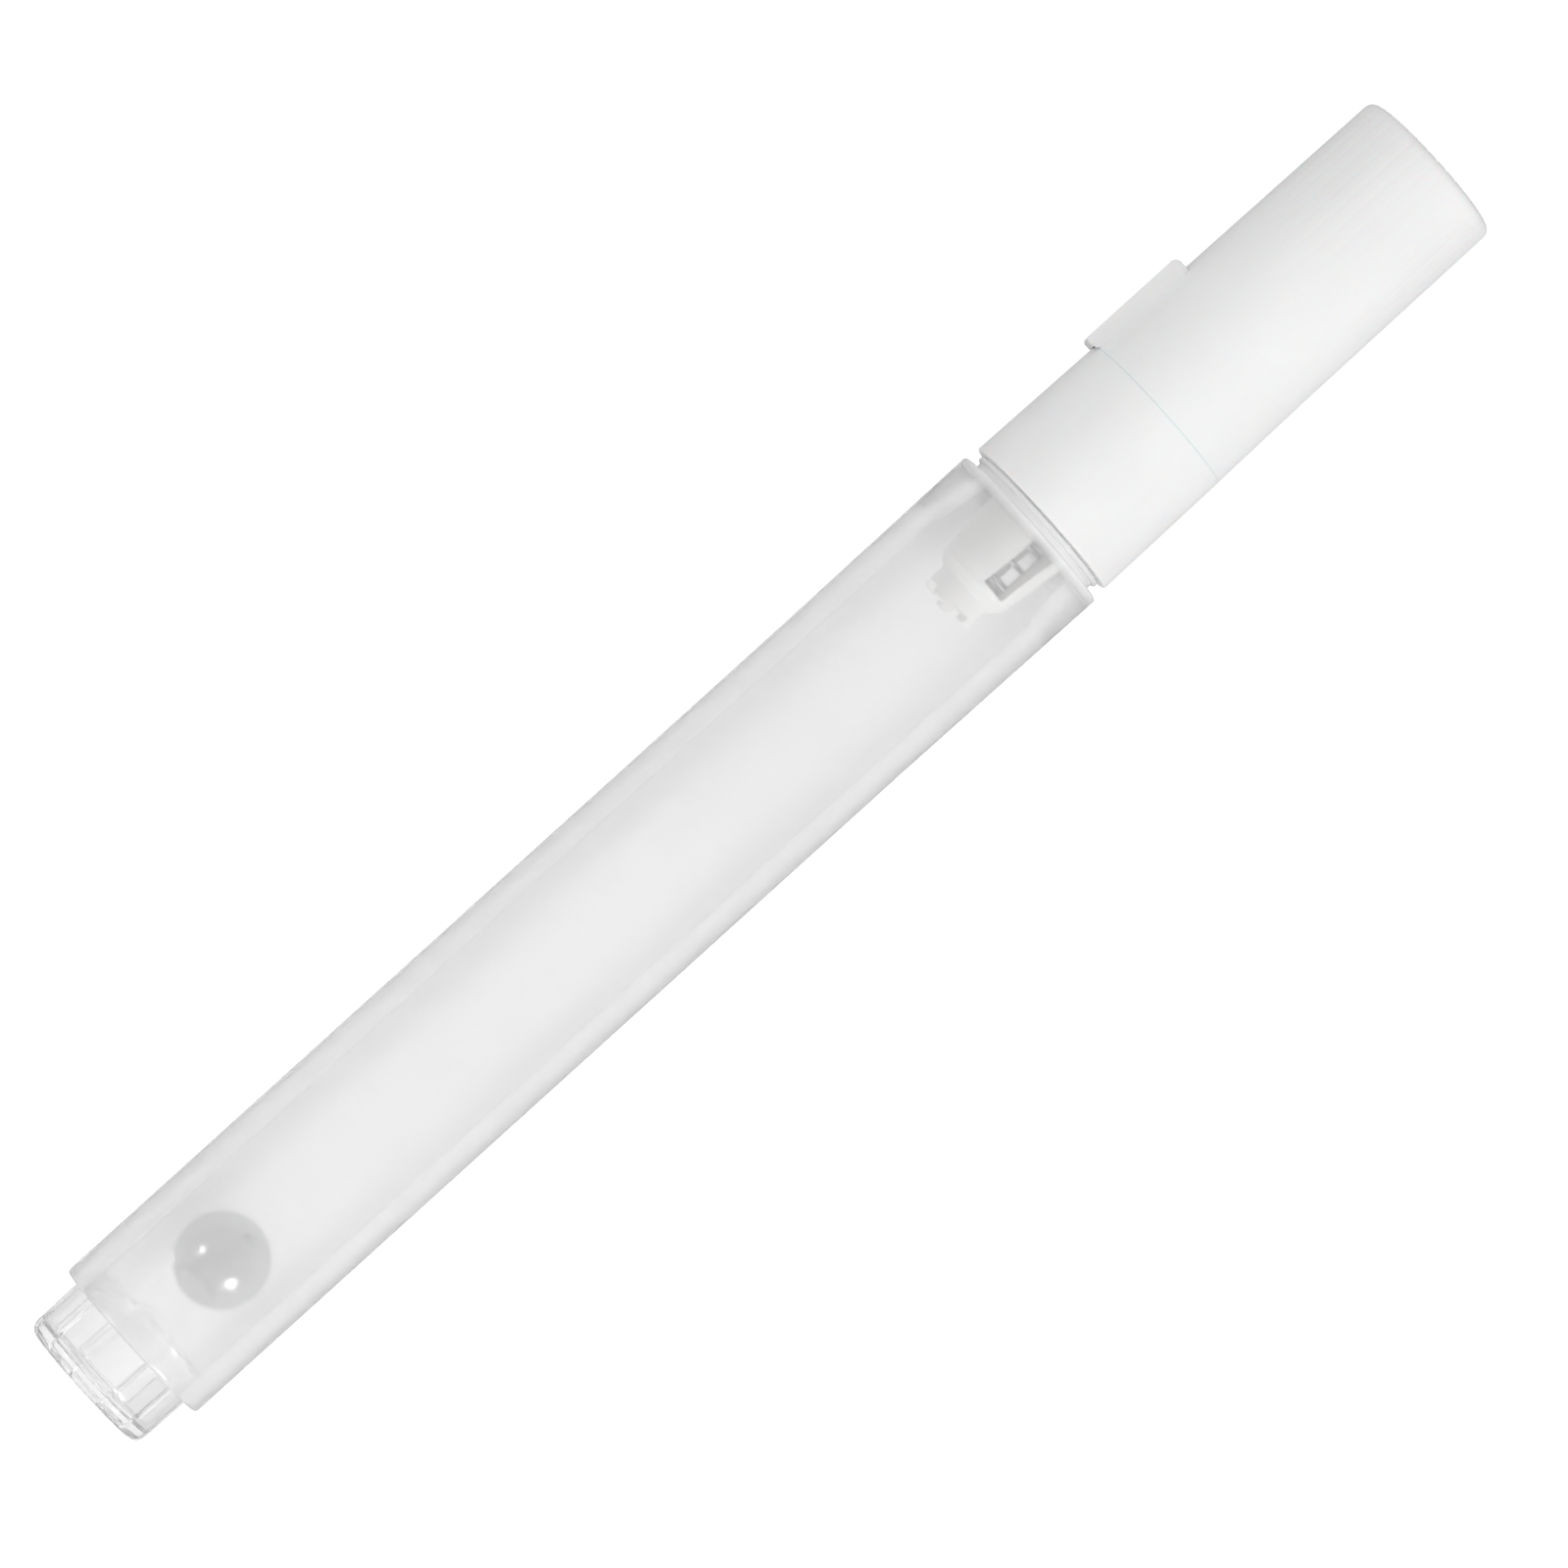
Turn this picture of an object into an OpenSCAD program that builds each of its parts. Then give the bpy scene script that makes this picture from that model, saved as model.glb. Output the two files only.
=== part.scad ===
// Refillable valve-action marker pen, lying on its side with its cap on.
// Millimetres. +X runs from the tail plug to the closed end of the cap, +Z is up, and the lug on the
// cap points to +Y. The origin is on the surface that the pen lies on, under the middle of the pen.
//
// Every sub-part is drawn about the local Z axis, at its station: the distance from the tail end.
// on_axis() then lays it down along X.

/* [Barrel] */
// Length of the tail plug's knob, outside the barrel
knob_len = 5.2; // [4.8:0.1:6]
// Length of the barrel's outer wall
barrel_len = 95.6; // [85:0.1:105]
// Outer radius of the barrel
barrel_r = 7.5; // [7.4:0.05:7.7]
// Wall of the barrel
wall = 1.5; // [1.45:0.05:1.55]
// Open groove between the barrel's shoulder and the collar
groove_len = 1.2; // [1:0.1:1.4]

/* [Front end] */
// Length of the collar
collar_len = 12.3; // [12:0.1:14]
// Length of the nose in front of the collar
nose_len = 16.9; // [16:0.1:18]
// How far the nib stands out of the nose
nib_out = 9; // [6:0.1:9.2]
// Width of the nib where it leaves the nose
nib_w = 4.5; // [3.6:0.1:4.6]
// Thickness of the nib
nib_t = 3; // [2:0.1:3.2]

/* [Cap] */
// Length of the cap
cap_len = 29.35; // [29:0.05:32]
// Length of the lug
lug_len = 9.7; // [6:0.1:12]
// Width of the lug round the cap
lug_w = 5; // [3:0.1:6]
// How far the lug stands out from the pen's axis
lug_r = 8.2; // [7.8:0.1:9]

/* [Tail plug] */
// Outer radius of the knob
knob_r = 6.3; // [6.2:0.01:6.4]
// Number of grip grooves round the knob
grip_grooves = 12; // [8:1:16]

/* [Valve] */
// Radius of the mixing ball
ball_r = 4; // [3:0.1:4.2]
// Radius of the spring's wire
wire_r = 0.22; // [0.15:0.01:0.24]
// Number of windows round the valve cage
windows = 3; // [2:1:4]

/* [Hidden] */
$fn = 96;
tiny = 0.03;   // gap between faces that touch on pieces that move apart
over = 0.5;    // how far a cutting shape runs past what it cuts

// Stations along the pen
barrel_s = knob_len;
shoulder_s = barrel_s + barrel_len;
collar_s = shoulder_s + groove_len;
seam_s = collar_s + collar_len;
rim_s = seam_s + 0.05;
end_s = rim_s + cap_len;
nose_s = seam_s + nose_len;
nib_tip_s = nose_s + nib_out;
ball_s = barrel_s + 9.53;
skirt_end_s = barrel_s + 2.3;
boss_end_s = barrel_s + 3.35;
neck_end_s = shoulder_s + 9.2;
cage_s = shoulder_s - 9.1;
cage_floor_s = shoulder_s - 5.8;
cage_front_s = shoulder_s + 4.4;
spring_front_s = shoulder_s + 1.8;
tube_s = cage_front_s + 1.25;
web_s = neck_end_s + 0.3;
nib_rear_s = seam_s + 4.1;
chamber_end_s = seam_s + 4.7;
lug_s = rim_s - 0.3;
rib_s = end_s - 11.8;
cap_floor_s = end_s - 1.2;
liner_s = seam_s + 7;

// Radii
flare_r = barrel_r + 0.13;
neck_r = barrel_r - 1.02;
bore_r = barrel_r - wall;
neck_bore_r = bore_r - 0.8;
collar_rear_r = barrel_r - 0.07;
collar_front_r = barrel_r - 0.22;
cap_rim_r = barrel_r - 0.24;
cap_waist_r = barrel_r - 0.4;
cap_end_r = barrel_r - 0.52;
cap_bore_r = barrel_r - 1.18;
skirt_bore_r = neck_r + 0.12;
seat_r = cap_bore_r - 0.12;
nose_root_r = 4.45;
nose_tip_r = 4.1;
liner_r = 5.3;
tube_r = 4.4;
chamber_r = 3.4;
cage_bore_r = 2.75;
shaft_r = 1.3;
tail_r = 0.65;
rod_r = 1.2;
head_r = 2.45;
washer_hole_r = 1.75;
coil_r = 2.2;
window_w = 2.4;
nib_play = 0.1;

axis_h = flare_r;   // the pen lies on the wide front end of its barrel

// Points on an arc in an outline
function arc(centre, r, from, to, steps = 6) =
    [for (i = [0:steps]) let (a = from + (to - from) * i / steps) centre + r * [cos(a), sin(a)]];

// A low ring with sloped flanks, as outline points on a wall of radius r that starts at station s
function ring(r, s, height, flank, flat) =
    [[r, s], [r + height, s + flank], [r + height, s + flank + flat], [r, s + 2 * flank + flat]];

// Lays a sub-part, drawn along local Z from the tail end, along the pen's axis.
// Local X points down in the finished pen and local Y to the lug's side.
module on_axis() {
    translate([-end_s / 2, 0, axis_h]) rotate([0, 90, 0]) children();
}

// A turned solid from outline points [radius, station]
module turned(points) {
    rotate_extrude() polygon(points);
}

// A flat outline [height from the axis, station], extruded to a width across the pen's axis
module side_plate(width, points) {
    translate([-width / 2, 0, 0]) rotate([90, 0, 90]) linear_extrude(width) polygon(points);
}

module barrel() {
    edge = 0.4;
    lip = 0.15;
    color("gainsboro", 0.5) on_axis() turned(concat(
        [[bore_r, barrel_s]],
        arc([barrel_r - edge, barrel_s + edge], edge, -90, 0),
        [[barrel_r, shoulder_s - 20], [flare_r, shoulder_s - lip], [flare_r - lip, shoulder_s],
         [neck_r, shoulder_s]],
        arc([neck_r, shoulder_s + 0.85], 0.3, -90, 90),
        ring(neck_r, collar_s + 4, 0.1, 0.3, 0.5),
        [[neck_r, neck_end_s - 0.3], [neck_r - 0.3, neck_end_s], [neck_bore_r, neck_end_s],
         [neck_bore_r, shoulder_s - 1.2], [bore_r, shoulder_s - 2.4]]));
}

module end_plug() {
    edge = 1;
    knob_edge_r = knob_r - 0.08;
    skirt_r = bore_r - 0.15;
    floor_s = 1.2;
    boss_r = 2.5;
    seal_h = 0.12;
    groove_depth = 0.2;
    color("whitesmoke", 0.4) on_axis() difference() {
        turned(concat(
            [[0, 0]],
            arc([knob_edge_r - edge, edge], edge, -90, 0),
            [[knob_r, knob_len - tiny], [skirt_r, knob_len - tiny]],
            ring(skirt_r, barrel_s + 0.15, seal_h, 0.1, 0.05),
            ring(skirt_r, barrel_s + 0.5, seal_h, 0.1, 0.05),
            ring(skirt_r, barrel_s + 0.85, seal_h, 0.1, 0.05),
            [[skirt_r, skirt_end_s - 0.3], [skirt_r - 0.3, skirt_end_s], [skirt_r - 0.9, skirt_end_s],
             [skirt_r - 0.9, floor_s], [boss_r, floor_s]],
            arc([0, boss_end_s - boss_r], boss_r, 0, 90)));
        for (i = [0:grip_grooves - 1])
            rotate([0, 0, 18 + 360 / grip_grooves * i])
                translate([knob_r - groove_depth, 0, -over])
                    rotate([0, 0, -45]) cube([1, 1, knob_len + over - tiny]);
    }
}

module mixing_ball() {
    roll_gap = 0.1;
    color("silver") on_axis()
        translate([bore_r - ball_r - roll_gap, 0, ball_s]) sphere(ball_r);
}

module valve_cage() {
    sleeve_r = 2.45;
    flange_r = neck_bore_r - tiny;
    slot_w = 1.8;
    slot_depth = 0.6;
    color("white") on_axis() difference() {
        turned([
            [tail_r + 0.1, cage_s], [sleeve_r - 0.15, cage_s], [sleeve_r, cage_s + 0.15],
            [sleeve_r, cage_s + 2.1], [sleeve_r + 0.2, cage_s + 2.1], [3.35, cage_s + 2.95],
            [3.55, cage_floor_s + 0.5], [4.1, shoulder_s + 0.2], [4.1, cage_front_s - 2],
            [flange_r, cage_front_s - 2], [flange_r, cage_front_s], [cage_bore_r, cage_front_s],
            [cage_bore_r, cage_floor_s], [shaft_r + 0.12, cage_floor_s],
            [shaft_r + 0.12, cage_s + 1.2], [tail_r + 0.1, cage_s + 1.2]]);
        for (i = [0:windows - 1])
            rotate([0, 0, 210 + 360 / windows * i])
                translate([shaft_r + 0.4, -window_w / 2, cage_floor_s + 0.1])
                    cube([5, window_w, shoulder_s - cage_floor_s + 0.1]);
        for (turn = [30, 120])
            rotate([0, 0, turn])
                translate([-sleeve_r - over, -slot_w / 2, cage_s - over])
                    cube([2 * (sleeve_r + over), slot_w, slot_depth + over]);
    }
}

// The spring is one wire swept round its coil: closed turns behind, open turns, one closed in front
closed_turns = 2;
last_turns = 1;
all_turns = 6.2;
turn_steps = 14;
wire_sides = 8;
closed_pitch = 2 * wire_r + 0.03;
spring_start_s = cage_floor_s + wire_r + 0.02;
spring_stop_s = spring_front_s - wire_r - 0.02;
open_pitch = (spring_stop_s - spring_start_s - (closed_turns + last_turns) * closed_pitch)
    / (all_turns - closed_turns - last_turns);
spring_turn_0 = 174;   // where the wire starts, so that the open coils cross the windows

function coil_s(t) = spring_start_s
    + min(t, closed_turns) * closed_pitch
    + max(0, min(t, all_turns - last_turns) - closed_turns) * open_pitch
    + max(0, t - all_turns + last_turns) * closed_pitch;

function wire_ring(t) = let (a = spring_turn_0 + 360 * t, out = [cos(a), sin(a), 0])
    [for (i = [0:wire_sides - 1]) let (b = 360 * i / wire_sides)
        (coil_r + wire_r * cos(b)) * out + [0, 0, coil_s(t) + wire_r * sin(b)]];

module valve_spring() {
    steps = round(all_turns * turn_steps);
    n = wire_sides;
    points = [for (i = [0:steps]) each wire_ring(all_turns * i / steps)];
    sides = [for (i = [0:steps - 1], j = [0:n - 1])
        [i * n + j, i * n + (j + 1) % n, (i + 1) * n + (j + 1) % n, (i + 1) * n + j]];
    start = [for (j = [n - 1:-1:0]) j];
    stop = [for (j = [0:n - 1]) steps * n + j];
    color("darkgray") on_axis() polyhedron(points, concat(sides, [start, stop]));
}

module valve_stem() {
    step_s = cage_floor_s;
    head_s = spring_front_s;
    pusher_r = 2.6;
    color("white") on_axis() turned([
        [0, cage_s - 0.46], [tail_r - 0.15, cage_s - 0.46], [tail_r, cage_s - 0.3],
        [tail_r, step_s], [shaft_r, step_s], [shaft_r, head_s], [head_r, head_s],
        [head_r, head_s + 1.2], [rod_r, tube_s - 0.3], [rod_r, nib_rear_s - 1],
        [pusher_r, nib_rear_s - 1], [pusher_r, nib_rear_s], [0, nib_rear_s]]);
}

module seat_washer() {
    color("dimgray") on_axis() turned([
        [washer_hole_r, cage_front_s], [neck_bore_r - tiny, cage_front_s],
        [neck_bore_r - tiny, tube_s - tiny], [washer_hole_r, tube_s - tiny]]);
}

module front_section() {
    ring_h = 0.07;
    step_r = seat_r - 0.4;
    edge = 0.4;
    slot = [nib_t + 2 * nib_play, nib_w + 2 * nib_play, nose_len];
    color("white") on_axis() difference() {
        turned(concat(
            [[skirt_bore_r, collar_s], [collar_rear_r - 0.15, collar_s],
             [collar_rear_r, collar_s + 0.15], [collar_front_r, seam_s - 0.1],
             [collar_front_r - 0.1, seam_s], [seat_r, seam_s]],
            ring(seat_r, seam_s + 0.6, ring_h, 0.2, 0.3),
            ring(seat_r, seam_s + 2.1, ring_h, 0.2, 0.3),
            [[seat_r, seam_s + 3.5], [seat_r - 0.2, seam_s + 3.7], [step_r, seam_s + 3.7]],
            arc([step_r - 0.75, seam_s + 4.9], 0.7, 0, 90, 4),
            arc([nose_root_r + 0.5, seam_s + 6.1], 0.5, 270, 180, 4),
            arc([nose_tip_r - edge, nose_s - edge], edge, 0, 90, 4),
            [[0, nose_s], [0, chamber_end_s + 1], [nib_w / 2, chamber_end_s + 1],
             [chamber_r, chamber_end_s],
             [chamber_r, tube_s], [tube_r, tube_s], [tube_r, web_s], [skirt_bore_r, web_s]]));
        translate([-slot.x / 2, -slot.y / 2, chamber_end_s]) cube(slot);
    }
}

module nib() {
    tip_w = nib_w - 0.4;
    tip_t = nib_t * 0.5;
    bevel_len = 3.4;
    corner = 0.25;
    color("sandybrown") on_axis() intersection() {
        side_plate(nib_t, [
            [-nib_w / 2, nib_rear_s], [nib_w / 2, nib_rear_s], [nib_w / 2, nose_s],
            [tip_w / 2, nib_tip_s - corner], [tip_w / 2 - corner, nib_tip_s],
            [corner - tip_w / 2, nib_tip_s], [-tip_w / 2, nib_tip_s - corner],
            [-nib_w / 2, nose_s]]);
        rotate([0, 0, 90]) side_plate(nib_w, [
            [-nib_t / 2, nib_rear_s], [nib_t / 2, nib_rear_s],
            [nib_t / 2, nib_tip_s - bevel_len], [tip_t / 2, nib_tip_s],
            [-tip_t / 2, nib_tip_s], [-nib_t / 2, nib_tip_s - bevel_len]]);
    }
}

module cap_lug() {
    foot_r = cap_rim_r - 0.6;
    lip_r = cap_rim_r + 0.12;
    near = 0.25;
    far = 0.7;
    side_plate(lug_w, concat(
        [[foot_r, rim_s], [lip_r, rim_s], [lip_r, lug_s]],
        arc([lug_r - near, lug_s + near], near, -90, 0, 4),
        arc([lug_r - far, lug_s + lug_len - far], far, 0, 90, 6),
        [[foot_r, lug_s + lug_len]]));
}

module cap_shell() {
    edge = 0.8;
    inner_end_r = cap_end_r - 0.95;
    ribs = 36;
    rib_t = 0.3;
    color("white") on_axis() {
        turned(concat(
            [[cap_bore_r + 0.18, rim_s], [cap_rim_r - 0.1, rim_s], [cap_rim_r, rim_s + 0.1],
             [cap_waist_r, lug_s + lug_len]],
            arc([cap_end_r - edge, end_s - edge], edge, 0, 90),
            [[0, end_s], [0, cap_floor_s], [inner_end_r, cap_floor_s],
             [inner_end_r + 0.1, rib_s], [cap_bore_r - 0.04, rim_s + 6],
             [cap_bore_r, rim_s + 0.2]]));
        cap_lug();
        for (i = [0:ribs - 1])
            rotate([0, 0, 360 / ribs * i])
                translate([liner_r + tiny, -rib_t / 2, rib_s])
                    cube([inner_end_r + 0.3 - liner_r, rib_t, cap_floor_s - rib_s + over]);
    }
}

module cap_liner() {
    lip_r = nose_root_r + 0.05;
    hollow_r = lip_r + 0.2;
    rear_s = cap_floor_s - tiny;
    floor_s = rear_s - 0.8;
    color("ivory") on_axis() turned([
        [lip_r, liner_s], [liner_r - 0.2, liner_s], [liner_r, liner_s + 0.3],
        [liner_r, rear_s], [0, rear_s], [0, floor_s], [hollow_r, floor_s],
        [hollow_r, liner_s + 1.6], [lip_r, liner_s + 1.2]]);
}

barrel();
end_plug();
mixing_ball();
valve_cage();
valve_spring();
valve_stem();
seat_washer();
front_section();
nib();
cap_shell();
cap_liner();
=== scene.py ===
"""A refillable paint marker that lies on a pale floor with its cap on, seen from above."""

import math

import bmesh
import bpy
from mathutils import Matrix, Vector


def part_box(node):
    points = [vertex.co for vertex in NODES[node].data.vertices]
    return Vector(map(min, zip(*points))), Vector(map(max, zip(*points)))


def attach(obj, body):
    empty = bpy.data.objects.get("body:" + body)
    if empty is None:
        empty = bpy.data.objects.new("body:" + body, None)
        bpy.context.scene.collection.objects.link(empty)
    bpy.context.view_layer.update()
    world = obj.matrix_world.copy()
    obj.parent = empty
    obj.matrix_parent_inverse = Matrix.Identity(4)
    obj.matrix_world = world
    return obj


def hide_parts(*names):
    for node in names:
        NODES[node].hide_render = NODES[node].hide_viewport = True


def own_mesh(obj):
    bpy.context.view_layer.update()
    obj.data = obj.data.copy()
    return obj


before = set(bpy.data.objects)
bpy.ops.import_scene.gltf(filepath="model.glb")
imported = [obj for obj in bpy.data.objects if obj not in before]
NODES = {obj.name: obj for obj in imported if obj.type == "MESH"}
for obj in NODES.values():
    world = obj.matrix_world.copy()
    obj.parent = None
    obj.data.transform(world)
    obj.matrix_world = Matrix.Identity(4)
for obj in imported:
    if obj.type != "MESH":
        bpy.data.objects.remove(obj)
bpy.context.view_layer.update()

# Stations and radii are in millimetres. A station is the distance from the pen's tail end, and an
# angle of 0 points down, 90 to the lug's side and 180 up.
MM = 0.001
BARREL_R = 7.5
BORE_R = 6.0
NECK_R = 6.48
NECK_BORE_R = 5.2
KNOB_R = 6.3
SEAM_R = 7.28
LUG_R = 8.2
LUG_HALF_WIDTH = 2.5
TAIL_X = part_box("end_plug")[0].x
AXIS_Z = (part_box("barrel")[0].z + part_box("barrel")[1].z) / 2


def mm_x(node, corner):
    """The station of a CAD node's rear end (corner 0) or front end (corner 1)."""
    return (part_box(node)[corner].x - TAIL_X) / MM


# Stations along the pen. The cap's rim is at the seam and the collar runs back from it.
BARREL = mm_x("barrel", 0)
NECK_END = mm_x("barrel", 1)
SHOULDER = NECK_END - 9.2
COLLAR = mm_x("front_section", 0)
NOSE_END = mm_x("front_section", 1)
SEAM = NOSE_END - 16.9
RIM = SEAM + 0.01
CAP_END = mm_x("cap_shell", 1)
CAGE_FLOOR = SHOULDER - 5.8
SPRING_FRONT = mm_x("valve_spring", 1)
TUBE = SHOULDER + 5.65
CHAMBER_END = SEAM + 4.7
SHARP_ANGLE = math.radians(38)


def place(r, s, angle):
    """The point at radius r, station s and an angle in radians round the pen's axis."""
    return Vector((TAIL_X + s * MM, r * math.sin(angle) * MM, AXIS_Z - r * math.cos(angle) * MM))


# ---------------------------------------------------------------- shapes

def soften(points, support=0.12, longest=4.0):
    """A closed outline of (radius, station) with rounded corners. A point's third value is its
    rounding, which is 0.1 if it has none. Points beside each corner keep flats flat."""
    arc_steps = 6
    count = len(points)
    corners = []
    for i, p in enumerate(points):
        here = Vector(p[:2])
        before = Vector(points[i - 1][:2]) - here
        after = Vector(points[(i + 1) % count][:2]) - here
        round_by = p[2] if len(p) > 2 else 0.1
        if p[0] == 0 or round_by == 0:
            corners.append([here])
            continue
        half = before.angle(after) / 2
        reach = min(round_by / math.tan(half), 0.45 * before.length, 0.45 * after.length)
        a, b = here + before.normalized() * reach, here + after.normalized() * reach
        ts = [k / arc_steps for k in range(arc_steps + 1)]
        corners.append([a * (1 - t) ** 2 + here * (2 * t * (1 - t)) + b * t ** 2 for t in ts])
    outline = []
    for i, corner in enumerate(corners):
        outline += corner
        start, stop = corner[-1], corners[(i + 1) % count][0]
        if start.x == 0 and stop.x == 0:
            continue
        length = (stop - start).length
        if length < 3 * support:
            continue
        inner = length - 2 * support
        parts = max(1, math.ceil(inner / longest))
        outline += [start.lerp(stop, (support + inner * k / parts) / length)
                    for k in range(parts + 1)]
    return [tuple(p) for p in outline]


def finish_mesh(mesh):
    """Faces out, smooth, with edges sharp only where the surface truly turns."""
    work = bmesh.new()
    work.from_mesh(mesh)
    bmesh.ops.remove_doubles(work, verts=work.verts, dist=1e-7)
    bmesh.ops.recalc_face_normals(work, faces=work.faces)
    work.to_mesh(mesh)
    work.free()
    mesh.shade_smooth()
    mesh.set_sharp_from_angle(angle=SHARP_ANGLE)
    mesh.update()


def add_object(name, verts, faces):
    mesh = bpy.data.meshes.new(name)
    mesh.from_pydata(verts, [], faces)
    piece = bpy.data.objects.new(name, mesh)
    bpy.context.scene.collection.objects.link(piece)
    finish_mesh(mesh)
    return piece


def lathe(name, outline, steps=160, shape=None):
    """Turns a closed outline round the pen's axis. shape(r, s, angle) may change each radius."""
    angles = [2 * math.pi * i / steps for i in range(steps)]
    verts, rings = [], []
    for r, s in outline:
        around = angles if r > 0 else [0]
        rings.append([len(verts) + i for i in range(len(around))])
        verts += [place(shape(r, s, a) if shape and r > 0 else r, s, a) for a in around]
    faces = []
    for a, b in zip(rings, rings[1:] + rings[:1]):
        if len(a) == 1 and len(b) == 1:
            continue
        for i in range(steps):
            j = (i + 1) % steps
            corners = [a[i % len(a)], a[j % len(a)], b[j % len(b)], b[i % len(b)]]
            faces.append(list(dict.fromkeys(corners)))
    return add_object(name, verts, faces)


def slab(name, outline, half_width, bevel):
    """A flat outline of (height above the axis, station) on the lug's side, as wide as stated,
    with its long edges rounded."""
    mesh = bpy.data.meshes.new(name)
    work = bmesh.new()
    rows = [[work.verts.new((TAIL_X + s * MM, r * MM, AXIS_Z + side * half_width * MM))
             for r, s in outline] for side in (-1, 1)]
    caps = [work.faces.new(row) for row in rows]
    count = len(outline)
    for i in range(count):
        j = (i + 1) % count
        work.faces.new([rows[0][i], rows[0][j], rows[1][j], rows[1][i]])
    edges = list({e for face in caps for e in face.edges})
    bmesh.ops.bevel(work, geom=edges, offset=bevel * MM, segments=4, profile=0.5, affect="EDGES")
    work.to_mesh(mesh)
    work.free()
    piece = bpy.data.objects.new(name, mesh)
    bpy.context.scene.collection.objects.link(piece)
    finish_mesh(mesh)
    return piece


def combine(piece, tool, operation):
    """Cuts the tool out of a piece, or joins it on, and removes the tool."""
    step = piece.modifiers.new("combine", "BOOLEAN")
    step.operation, step.object, step.solver = operation, tool, "EXACT"
    graph = bpy.context.evaluated_depsgraph_get()
    mesh = bpy.data.meshes.new_from_object(piece.evaluated_get(graph))
    piece.modifiers.clear()
    piece.data = mesh
    bpy.data.objects.remove(tool)
    finish_mesh(mesh)


def tube(name, path, radius):
    """A round wire swept along a path of points, with flat ends."""
    sides = 12
    verts, faces = [], []
    axis = Vector((1, 0, 0))
    for i, p in enumerate(path):
        along = (path[min(i + 1, len(path) - 1)] - path[max(i - 1, 0)]).normalized()
        out = (axis - along * axis.dot(along)).normalized()
        side = along.cross(out)
        verts += [p + radius * MM * (math.cos(b) * out + math.sin(b) * side)
                  for b in (2 * math.pi * k / sides for k in range(sides))]
    for i in range(len(path) - 1):
        for k in range(sides):
            m = (k + 1) % sides
            faces.append([i * sides + k, i * sides + m, (i + 1) * sides + m, (i + 1) * sides + k])
    last = (len(path) - 1) * sides
    faces += [list(range(sides - 1, -1, -1)), [last + k for k in range(sides)]]
    return add_object(name, verts, faces)


# ---------------------------------------------------------------- materials

def principled(name, **values):
    """A material with one Principled shader, and its own socket values."""
    mat = bpy.data.materials.new(name)
    mat.use_nodes = True
    shader = mat.node_tree.nodes["Principled BSDF"]
    for key, value in values.items():
        shader.inputs[key.replace("_", " ").title().replace("Ior", "IOR")].default_value = value
    return mat


def noise(mat, size_mm, stretch=(1, 1, 1), detail=3.0):
    """Noise in the object's own space, whose features are about size_mm across."""
    nodes, links = mat.node_tree.nodes, mat.node_tree.links
    where = nodes.new("ShaderNodeTexCoord")
    scaled = nodes.new("ShaderNodeMapping")
    scaled.inputs["Scale"].default_value = [1 / (size_mm * MM * k) for k in stretch]
    texture = nodes.new("ShaderNodeTexNoise")
    texture.inputs["Scale"].default_value = 1.0
    texture.inputs["Detail"].default_value = detail
    links.new(where.outputs["Object"], scaled.inputs["Vector"])
    links.new(scaled.outputs["Vector"], texture.inputs["Vector"])
    return texture.outputs["Fac"]


def ranged(mat, value, low, high, start=0.3, stop=0.7):
    """A value mapped from start..stop to low..high."""
    node = mat.node_tree.nodes.new("ShaderNodeMapRange")
    for key, number in (("From Min", start), ("From Max", stop), ("To Min", low), ("To Max", high)):
        node.inputs[key].default_value = number
    mat.node_tree.links.new(value, node.inputs["Value"])
    return node.outputs["Result"]


def feed(mat, socket, value):
    shader = mat.node_tree.nodes["Principled BSDF"]
    mat.node_tree.links.new(value, shader.inputs[socket])


def bump(mat, value, depth_mm):
    node = mat.node_tree.nodes.new("ShaderNodeBump")
    node.inputs["Strength"].default_value = 1.0
    node.inputs["Distance"].default_value = depth_mm * MM
    mat.node_tree.links.new(value, node.inputs["Height"])
    feed(mat, "Normal", node.outputs["Normal"])


def tint(mat, value, low, high):
    """Base colour between two colours, by a value from 0 to 1."""
    node = mat.node_tree.nodes.new("ShaderNodeMix")
    node.data_type = "RGBA"
    node.inputs["A"].default_value = (*low, 1)
    node.inputs["B"].default_value = (*high, 1)
    mat.node_tree.links.new(value, node.inputs["Factor"])
    feed(mat, "Base Color", node.outputs["Result"])


def frosted_plastic():
    """Milky and see-through. The neck, which has white mouldings behind it, lets less through."""
    mat = principled("frosted_plastic", roughness=0.1, ior=1.45, transmission_weight=0.75)
    patch = noise(mat, 9, stretch=(2.5, 1, 1))
    tint(mat, ranged(mat, patch, 0, 1), (0.88, 0.88, 0.88), (0.91, 0.91, 0.91))
    feed(mat, "Roughness", ranged(mat, patch, 0.12, 0.16))
    nodes, links = mat.node_tree.nodes, mat.node_tree.links
    where = nodes.new("ShaderNodeTexCoord")
    split = nodes.new("ShaderNodeSeparateXYZ")
    links.new(where.outputs["Object"], split.inputs["Vector"])
    mouth = TAIL_X + SHOULDER * MM
    feed(mat, "Transmission Weight",
         ranged(mat, split.outputs["X"], 0.75, 0.2, mouth - 0.9 * MM, mouth - 0.1 * MM))
    return mat


def clear_plastic():
    mat = principled("clear_plastic", roughness=0.1, ior=1.36, transmission_weight=0.87)
    flow = noise(mat, 3, stretch=(3, 1, 1))
    tint(mat, ranged(mat, flow, 0, 1), (0.88, 0.88, 0.88), (0.92, 0.92, 0.92))
    feed(mat, "Roughness", ranged(mat, flow, 0.06, 0.12))
    return mat


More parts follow.
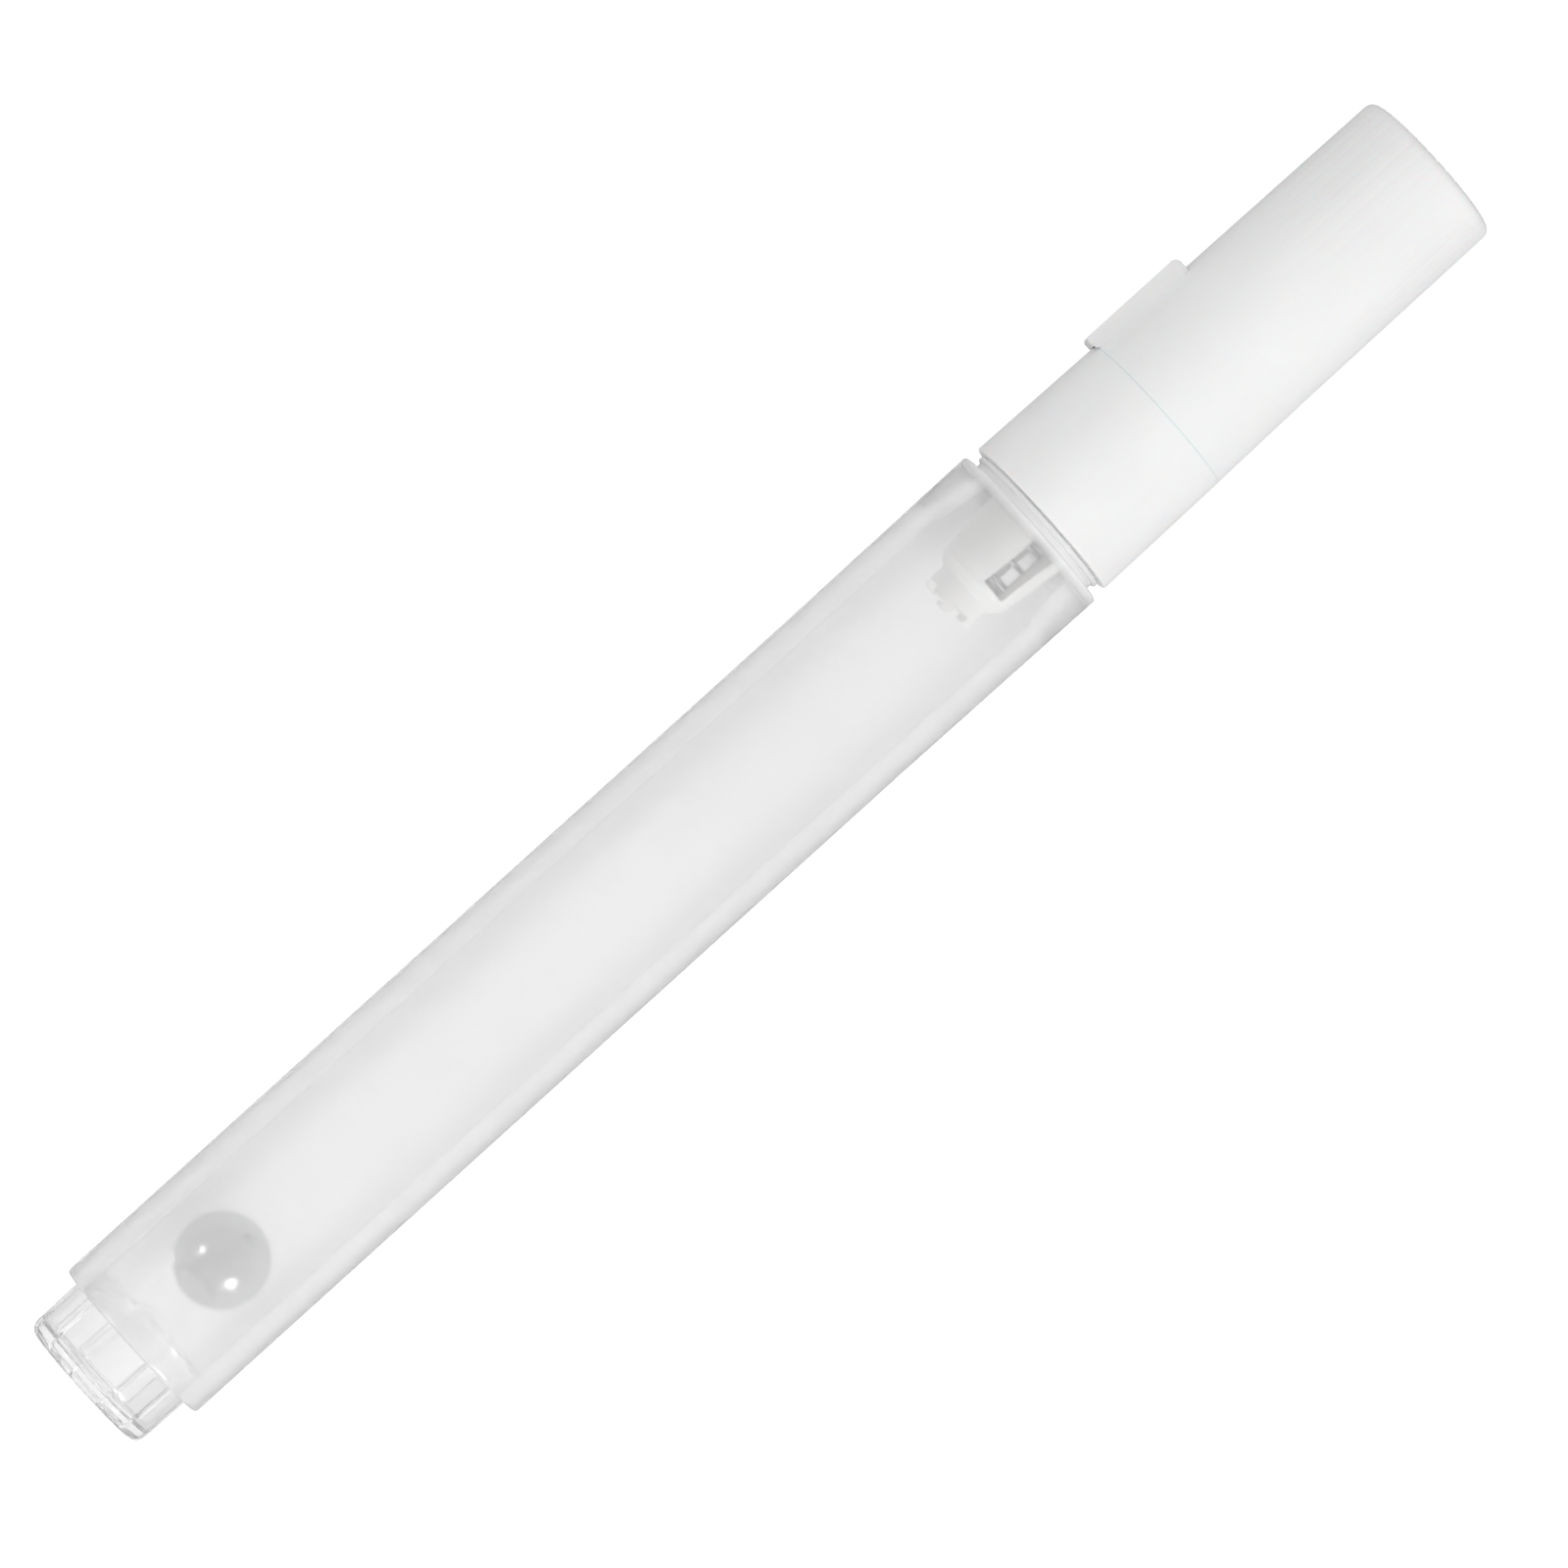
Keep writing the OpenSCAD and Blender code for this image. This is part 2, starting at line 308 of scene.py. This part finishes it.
def white_plastic(name, low, high, rough):
    mat = principled(name, subsurface_weight=0.15, subsurface_scale=0.0008)
    patch = noise(mat, 6, stretch=(2, 1, 1))
    tint(mat, ranged(mat, patch, 0, 1), low, high)
    feed(mat, "Roughness", ranged(mat, noise(mat, 1.5), rough - 0.05, rough + 0.06))
    bump(mat, noise(mat, 0.3), 0.004)
    return mat


def steel(name, low, high, rough):
    mat = principled(name, metallic=1.0)
    marks = noise(mat, 0.6, detail=5)
    tint(mat, ranged(mat, marks, 0, 1), low, high)
    feed(mat, "Roughness", ranged(mat, marks, rough, rough + 0.1))
    bump(mat, marks, 0.001)
    return mat


def nib_fibre():
    mat = principled("nib_fibre", sheen_weight=0.3, sheen_roughness=0.6)
    strands = noise(mat, 0.16, stretch=(30, 1, 1), detail=4)
    tint(mat, ranged(mat, strands, 0, 1), (0.60, 0.33, 0.10), (0.84, 0.56, 0.25))
    feed(mat, "Roughness", ranged(mat, strands, 0.75, 0.95))
    bump(mat, strands, 0.05)
    return mat


def seal_rubber():
    mat = principled("seal_rubber")
    grain = noise(mat, 0.2)
    tint(mat, ranged(mat, grain, 0, 1), (0.05, 0.05, 0.05), (0.09, 0.09, 0.09))
    feed(mat, "Roughness", ranged(mat, grain, 0.6, 0.8))
    bump(mat, grain, 0.01)
    return mat


CAP_WHITE = white_plastic("cap_white", (0.83, 0.83, 0.83), (0.87, 0.87, 0.87), 0.42)
VALVE_WHITE = white_plastic("valve_white", (0.74, 0.74, 0.73), (0.80, 0.80, 0.79), 0.45)
SLOTS = {
    "frosted_plastic": frosted_plastic(),
    "clear_plastic": clear_plastic(),
    "white_plastic": CAP_WHITE,
    "natural_plastic": VALVE_WHITE,
    "polished_steel": steel("polished_steel", (0.50, 0.50, 0.51), (0.58, 0.58, 0.59), 0.12),
    "spring_steel": steel("spring_steel", (0.22, 0.22, 0.23), (0.34, 0.34, 0.35), 0.25),
    "seal_rubber": seal_rubber(),
    "nib_fibre": nib_fibre(),
}


def dress(piece, body, node, slot):
    """Puts a piece in the place of its CAD node, on that node's body, in that slot's material."""
    piece.data.materials.clear()
    piece.data.materials.append(SLOTS[slot])
    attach(piece, body)
    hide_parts(node)


# ---------------------------------------------------------------- barrel

def make_barrel():
    """The tube: flared a little to its shoulder, then a neck with a stop bead and a snap bead."""
    flare_r = BARREL_R + 0.13
    bead, bead_r = SHOULDER + 0.85, NECK_R + 0.3
    snap, snap_r = COLLAR + 4.0, NECK_R + 0.1
    outline = soften([
        (BORE_R, BARREL, 0.15), (BARREL_R, BARREL, 0.4), (BARREL_R, SHOULDER - 20, 0),
        (flare_r, SHOULDER - 0.1, 0.15), (BARREL_R, SHOULDER, 0.1), (NECK_R, SHOULDER, 0.12),
        (NECK_R, bead - 0.3, 0.08), (bead_r, bead - 0.15, 0.12), (bead_r, bead + 0.15, 0.12),
        (NECK_R, bead + 0.3, 0.08), (NECK_R, snap, 0), (snap_r, snap + 0.3), (snap_r, snap + 0.8),
        (NECK_R, snap + 1.1, 0), (NECK_R, NECK_END, 0.3), (NECK_BORE_R, NECK_END, 0.1),
        (NECK_BORE_R, SHOULDER - 0.4, 0.5), (BORE_R, SHOULDER - 5.2, 2.0)])
    piece = lathe("barrel_shell", outline, steps=192)
    dress(piece, "barrel", "barrel", "frosted_plastic")
    piece.visible_shadow = False


# ---------------------------------------------------------------- tail plug

GROOVES = 12
FIRST_GROOVE = math.radians(18)
GROOVE_HALF_ANGLE = math.radians(1.9)
GROOVE_DEPTH = 0.2
CROWN = 0.07
CAVITY_R = 4.95


def knob_shape(r, s, angle):
    """Twelve slightly crowned pads with a narrow groove between each two, on the knob only."""
    if s > BARREL or r < CAVITY_R + 0.05:
        return r
    pitch = 2 * math.pi / GROOVES
    off = abs((angle - FIRST_GROOVE + pitch / 2) % pitch - pitch / 2)
    groove = GROOVE_DEPTH * max(0.0, 1 - off / GROOVE_HALF_ANGLE)
    crown = CROWN * (1 - min(1.0, off / (pitch / 2))) ** 2
    return r - crown - groove


def make_plug():
    """The knob, its skirt with three seal rings, and the domed boss in its hollow."""
    front = BARREL - 0.03
    end = BARREL + 2.3
    floor = 1.0
    skirt_r, boss_r = BORE_R - 0.15, 2.5
    ring_r = skirt_r + 0.12
    rings = []
    for start in (0.15, 0.5, 0.85):
        s = BARREL + start
        rings += [(skirt_r, s, 0), (ring_r, s + 0.1, 0.03), (ring_r, s + 0.15, 0.03),
                  (skirt_r, s + 0.25, 0)]
    outline = soften([
        (0, 0), (KNOB_R - 0.08, 0, 1.05), (KNOB_R, front, 0.08), (skirt_r, front, 0.03), *rings,
        (skirt_r, end - 0.3, 0), (skirt_r - 0.3, end, 0.1), (CAVITY_R, end, 0.15),
        (CAVITY_R, floor, 1.9), (boss_r, floor, 1.1), (boss_r, BARREL + 0.9, 0),
        (2.35, BARREL + 1.9, 0), (1.85, BARREL + 2.6, 0), (1.1, BARREL + 3.15, 0),
        (0, BARREL + 3.35)], support=0.08, longest=1.5)
    piece = lathe("tail_plug", outline, steps=480, shape=knob_shape)
    dress(piece, "plug", "end_plug", "clear_plastic")
    piece.visible_shadow = False


# ---------------------------------------------------------------- ball

def make_ball():
    """A polished ball, which casts no lamp shadow on the milky wall round it."""
    low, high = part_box("mixing_ball")
    mesh = bpy.data.meshes.new("steel_ball")
    work = bmesh.new()
    bmesh.ops.create_icosphere(work, subdivisions=6, radius=(high.x - low.x) / 2,
                               matrix=Matrix.Translation((low + high) / 2))
    work.to_mesh(mesh)
    work.free()
    piece = bpy.data.objects.new("steel_ball", mesh)
    bpy.context.scene.collection.objects.link(piece)
    finish_mesh(mesh)
    dress(piece, "ball", "mixing_ball", "polished_steel")
    piece.visible_shadow = False


# ---------------------------------------------------------------- valve

WIRE_R = 0.22
COIL_R = 2.2
CLOSED_TURNS = 2
LAST_TURNS = 1
ALL_TURNS = 6.2
CLOSED_GAP = 0.03
TURN_STEPS = 36
WIRE_START = math.radians(174)


def make_spring():
    """One wire, closed behind and in front and open between."""
    pitch = 2 * WIRE_R + CLOSED_GAP
    start = CAGE_FLOOR + WIRE_R + 0.02
    stop = SPRING_FRONT - WIRE_R
    open_turns = ALL_TURNS - CLOSED_TURNS - LAST_TURNS
    open_pitch = (stop - start - (CLOSED_TURNS + LAST_TURNS) * pitch) / open_turns
    path = []
    for i in range(round(ALL_TURNS * TURN_STEPS) + 1):
        t = i / TURN_STEPS
        s = (start + min(t, CLOSED_TURNS) * pitch
             + max(0, min(t, ALL_TURNS - LAST_TURNS) - CLOSED_TURNS) * open_pitch
             + max(0, t - ALL_TURNS + LAST_TURNS) * pitch)
        path.append(place(COIL_R, s, WIRE_START + 2 * math.pi * t))
    piece = tube("valve_coil", path, WIRE_R)
    dress(piece, "barrel", "valve_spring", "spring_steel")
    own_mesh(piece)


# ---------------------------------------------------------------- front section and nib

NIB_HALF = (2.25, 1.5)
NIB_PLAY = 0.1
SEAT_R = 6.2
STEP_R = 5.8
NOSE_ROOT_R = 4.45
CHAMBER_R = 3.4
INSERT_BORE_R = 4.4


def make_front():
    """The collar, the cap's seat with two snap beads, and the nose with the nib's chamber."""
    bead_r = SEAT_R + 0.07
    beads = []
    for s in (SEAM + 0.6, SEAM + 2.1):
        beads += [(SEAT_R, s, 0.05), (bead_r, s + 0.2, 0.05), (bead_r, s + 0.5, 0.05),
                  (SEAT_R, s + 0.7, 0.05)]
    seat_end, step_end, skirt_end = SEAM + 3.7, SEAM + 5.6, NECK_END + 0.3
    outline = soften([
        (NECK_R + 0.03, COLLAR, 0.06), (BARREL_R - 0.07, COLLAR, 0.15), (SEAM_R, SEAM, 0.02),
        (SEAT_R, SEAM, 0.1), *beads, (SEAT_R, seat_end, 0.25), (STEP_R, seat_end, 0.12),
        (STEP_R, step_end, 0.75), (NOSE_ROOT_R, step_end, 0.5), (4.1, NOSE_END, 0.4),
        (0, NOSE_END), (0, CHAMBER_END), (CHAMBER_R, CHAMBER_END), (CHAMBER_R, TUBE),
        (INSERT_BORE_R, TUBE), (INSERT_BORE_R, skirt_end, 0.2), (NECK_R + 0.12, skirt_end, 0.2)])
    piece = lathe("front_moulding", outline, steps=160)
    half_y, half_z = (h + NIB_PLAY for h in NIB_HALF)
    slot_outline = [(-half_y, CHAMBER_END - 1), (half_y, CHAMBER_END - 1),
                    (half_y, NOSE_END + 1), (-half_y, NOSE_END + 1)]
    combine(piece, slab("nib_slot", slot_outline, half_z, bevel=0.15), "DIFFERENCE")
    dress(piece, "barrel", "front_section", "white_plastic")


def make_nib():
    """A bar of pressed fibre, cut to a chisel, with slightly worn edges."""
    rear, tip = mm_x("nib", 0), mm_x("nib", 1)
    half_y, half_z = NIB_HALF
    stations = [(rear, half_y, half_z), (rear + 0.15, half_y, half_z), (NOSE_END, half_y, half_z),
                (NOSE_END + 2.8, half_y - 0.06, half_z), (tip - 3.4, half_y - 0.12, half_z),
                (tip - 1.7, half_y - 0.17, half_z * 0.75), (tip - 0.25, half_y - 0.2, half_z * 0.53),
                (tip, half_y - 0.34, half_z * 0.42)]
    corner, corner_steps = 0.22, 4
    rings = []
    for s, y, z in stations:
        ring = []
        for sign_y, sign_z, turn in ((1, 1, 0), (-1, 1, 90), (-1, -1, 180), (1, -1, 270)):
            for k in range(corner_steps + 1):
                a = math.radians(turn + 90 * k / corner_steps)
                ring.append(Vector((TAIL_X + s * MM,
                                    (sign_y * (y - corner) + corner * math.cos(a)) * MM,
                                    AXIS_Z + (sign_z * (z - corner) + corner * math.sin(a)) * MM)))
        rings.append(ring)
    size = len(rings[0])
    verts = [p for ring in rings for p in ring]
    faces = [[i * size + k, i * size + (k + 1) % size,
              (i + 1) * size + (k + 1) % size, (i + 1) * size + k]
             for i in range(len(rings) - 1) for k in range(size)]
    last = (len(rings) - 1) * size
    faces += [list(range(size - 1, -1, -1)), [last + k for k in range(size)]]
    piece = add_object("fibre_nib", verts, faces)
    dress(piece, "valve", "nib", "nib_fibre")


# ---------------------------------------------------------------- cap

CAP_BORE_R = 6.32
RIBS = 36
RIB_HEIGHT = 0.62
RIB_START = CAP_END - 11.8
SINK_DEPTH = 0.02
SINK_START = RIB_START - 5
CAP_FLOOR = CAP_END - 1.2


def cap_shape(r, s, angle):
    """Ribs inside the closed end, and the shallow sink marks that they leave outside."""
    wave = math.cos(RIBS * angle)
    inside = 5.6 < r < CAP_BORE_R + 0.08
    outside = r > CAP_BORE_R + 0.28
    if inside and s > RIB_START - 0.01:
        fade = min(1.0, (s - RIB_START) / 0.4)
        return r - RIB_HEIGHT * fade * max(0.0, (wave - 0.6) / 0.4) ** 0.5
    if outside and s > SINK_START:
        fade = min(1.0, (s - SINK_START) / 8)
        return r - SINK_DEPTH * fade * max(0.0, wave) ** 2
    return r


def make_cap():
    """The tapered shell, with its flat lug joined on. The lug's rear end reaches over the collar."""
    lug_rear, lug_front = RIM - 0.3, RIM + 9.4
    lug_foot_r, lug_under_r = 6.66, SEAM_R + 0.04
    outline = soften([
        (6.5, RIM), (SEAM_R - 0.02, RIM, 0.02), (7.10, lug_front, 0), (6.98, CAP_END, 0.85),
        (0, CAP_END), (0, CAP_FLOOR), (6.03, CAP_FLOOR), (6.13, RIB_START),
        (6.28, RIM + 6, 0), (CAP_BORE_R, RIM + 0.2, 0.05)], longest=1.5)
    piece = lathe("cap_body", outline, steps=RIBS * 12, shape=cap_shape)
    lug = soften([
        (lug_foot_r, RIM, 0), (lug_under_r, RIM, 0), (lug_under_r, lug_rear, 0),
        (LUG_R, lug_rear, 0.35), (LUG_R, lug_front, 0.7), (lug_foot_r, lug_front, 0)],
        support=0.3, longest=20)
    combine(piece, slab("cap_lug", lug, LUG_HALF_WIDTH, bevel=0.2), "UNION")
    dress(piece, "cap", "cap_shell", "white_plastic")


make_barrel()
make_plug()
make_ball()
make_spring()
make_front()
make_nib()
make_cap()

# The hidden and half-hidden pieces keep their CAD shapes and get the slots' materials.
for node, slot in (("valve_cage", "natural_plastic"), ("valve_stem", "natural_plastic"),
                   ("seat_washer", "seal_rubber"), ("cap_liner", "natural_plastic")):
    NODES[node].data.materials.clear()
    NODES[node].data.materials.append(SLOTS[slot])


# ---------------------------------------------------------------- floor, light and camera

# The soft shadow's level at distances from the pen's axis, in millimetres
SHADOW = ((0, 0.93), (3.2, 0.93), (5.2, 0.78), (6.5, 0.68), (9, 0.68), (12, 0.92), (16, 1))
SHADOW_REACH = 16

# In metres, from the frame's origin and above the pen's axis
LAMP_DISTANCE = 0.7
CAMERA_HEIGHT = 0.87
# The direction along the floor that points up in the picture
PICTURE_UP = (0.6711, 0.7414, 0)


def make_floor():
    """Plain white paper, which glows a little to the camera and through clear plastic."""
    half = 10.0
    mesh = bpy.data.meshes.new("floor")
    mesh.from_pydata([(-half, -half, 0), (half, -half, 0), (half, half, 0), (-half, half, 0)], [],
                     [(0, 1, 2, 3)])
    floor = bpy.data.objects.new("floor", mesh)
    bpy.context.scene.collection.objects.link(floor)
    mat = bpy.data.materials.new("white_floor")
    mat.use_nodes = True
    nodes, links = mat.node_tree.nodes, mat.node_tree.links
    paper = nodes["Principled BSDF"]
    paper.inputs["Base Color"].default_value = (0.52, 0.52, 0.52, 1)
    paper.inputs["Roughness"].default_value = 0.9
    glow = nodes.new("ShaderNodeEmission")
    glow.inputs["Strength"].default_value = 1.05
    ray = nodes.new("ShaderNodeLightPath")
    seen = nodes.new("ShaderNodeMath")
    seen.operation = "MAXIMUM"
    links.new(ray.outputs["Is Camera Ray"], seen.inputs[0])
    links.new(ray.outputs["Is Transmission Ray"], seen.inputs[1])
    blend = nodes.new("ShaderNodeMixShader")
    links.new(seen.outputs["Value"], blend.inputs["Fac"])
    links.new(paper.outputs["BSDF"], blend.inputs[1])
    links.new(glow.outputs["Emission"], blend.inputs[2])
    links.new(blend.outputs["Shader"], nodes["Material Output"].inputs["Surface"])

    # Seen through the clear plastic, the floor beside the pen is in the pen's own soft shadow.
    where = nodes.new("ShaderNodeTexCoord")
    split = nodes.new("ShaderNodeSeparateXYZ")
    aside = nodes.new("ShaderNodeMath")
    aside.operation = "ABSOLUTE"
    share = nodes.new("ShaderNodeMath")
    share.operation = "DIVIDE"
    share.inputs[1].default_value = SHADOW_REACH * MM
    shadow = nodes.new("ShaderNodeValToRGB")
    for i, (off, level) in enumerate(SHADOW):
        stop = shadow.color_ramp.elements[i] if i < 2 else shadow.color_ramp.elements.new(1)
        stop.position, stop.color = off / SHADOW_REACH, (level, level, level, 1)
    plain = nodes.new("ShaderNodeMix")
    plain.data_type = "RGBA"
    plain.inputs["B"].default_value = (1, 1, 1, 1)
    links.new(where.outputs["Object"], split.inputs["Vector"])
    links.new(split.outputs["Y"], aside.inputs[0])
    links.new(aside.outputs["Value"], share.inputs[0])
    links.new(share.outputs["Value"], shadow.inputs["Fac"])
    links.new(ray.outputs["Is Camera Ray"], plain.inputs["Factor"])
    links.new(shadow.outputs["Color"], plain.inputs["A"])
    links.new(plain.outputs["Result"], glow.inputs["Color"])
    mesh.materials.append(mat)


def make_world():
    """An almost even, pale tent, a touch brighter overhead."""
    world = bpy.data.worlds.new("tent")
    bpy.context.scene.world = world
    world.use_nodes = True
    nodes, links = world.node_tree.nodes, world.node_tree.links
    where = nodes.new("ShaderNodeTexCoord")
    split = nodes.new("ShaderNodeSeparateXYZ")
    level = nodes.new("ShaderNodeMapRange")
    for key, number in (("From Min", 0.0), ("From Max", 0.9), ("To Min", 0.84), ("To Max", 0.845)):
        level.inputs[key].default_value = number
    links.new(where.outputs["Generated"], split.inputs["Vector"])
    links.new(split.outputs["Z"], level.inputs["Value"])
    links.new(level.outputs["Result"], nodes["Background"].inputs["Strength"])
    nodes["Background"].inputs["Color"].default_value = (1, 1, 1, 1)


def make_light(name, direction, power, size):
    """A round lamp in this direction from the frame's origin, aimed at it."""
    light = bpy.data.lights.new(name, "AREA")
    light.shape, light.size, light.energy = "DISK", size, power
    lamp = bpy.data.objects.new(name, light)
    bpy.context.scene.collection.objects.link(lamp)
    towards = Vector(direction).normalized()
    lamp.location = towards * LAMP_DISTANCE
    lamp.rotation_mode = "QUATERNION"
    lamp.rotation_quaternion = towards.to_track_quat("Z", "Y")


def make_camera():
    """Straight above the barrel, turned so that the pen runs from lower left to upper right."""
    data = bpy.data.cameras.new("camera")
    data.sensor_width = 36.0
    data.lens = 253.0
    data.clip_start, data.clip_end = 0.05, 20
    camera = bpy.data.objects.new("camera", data)
    bpy.context.scene.collection.objects.link(camera)
    spot = Vector((-0.0262, 0.0, AXIS_Z + CAMERA_HEIGHT))
    aim = Vector((0.0010, -0.0019, AXIS_Z))
    back = (spot - aim).normalized()
    right = Vector(PICTURE_UP).cross(back).normalized()
    up = back.cross(right)
    camera.matrix_world = Matrix.Translation(spot) @ Matrix((right, up, back)).transposed().to_4x4()
    bpy.context.scene.camera = camera


make_floor()
make_world()
make_light("near_lamp", (-0.36, -0.79, 0.50), 1.45, 0.14)
make_light("far_lamp", (-0.31, 0.72, 0.62), 0.3, 0.12)
make_camera()
bpy.context.scene.view_settings.view_transform = "Standard"
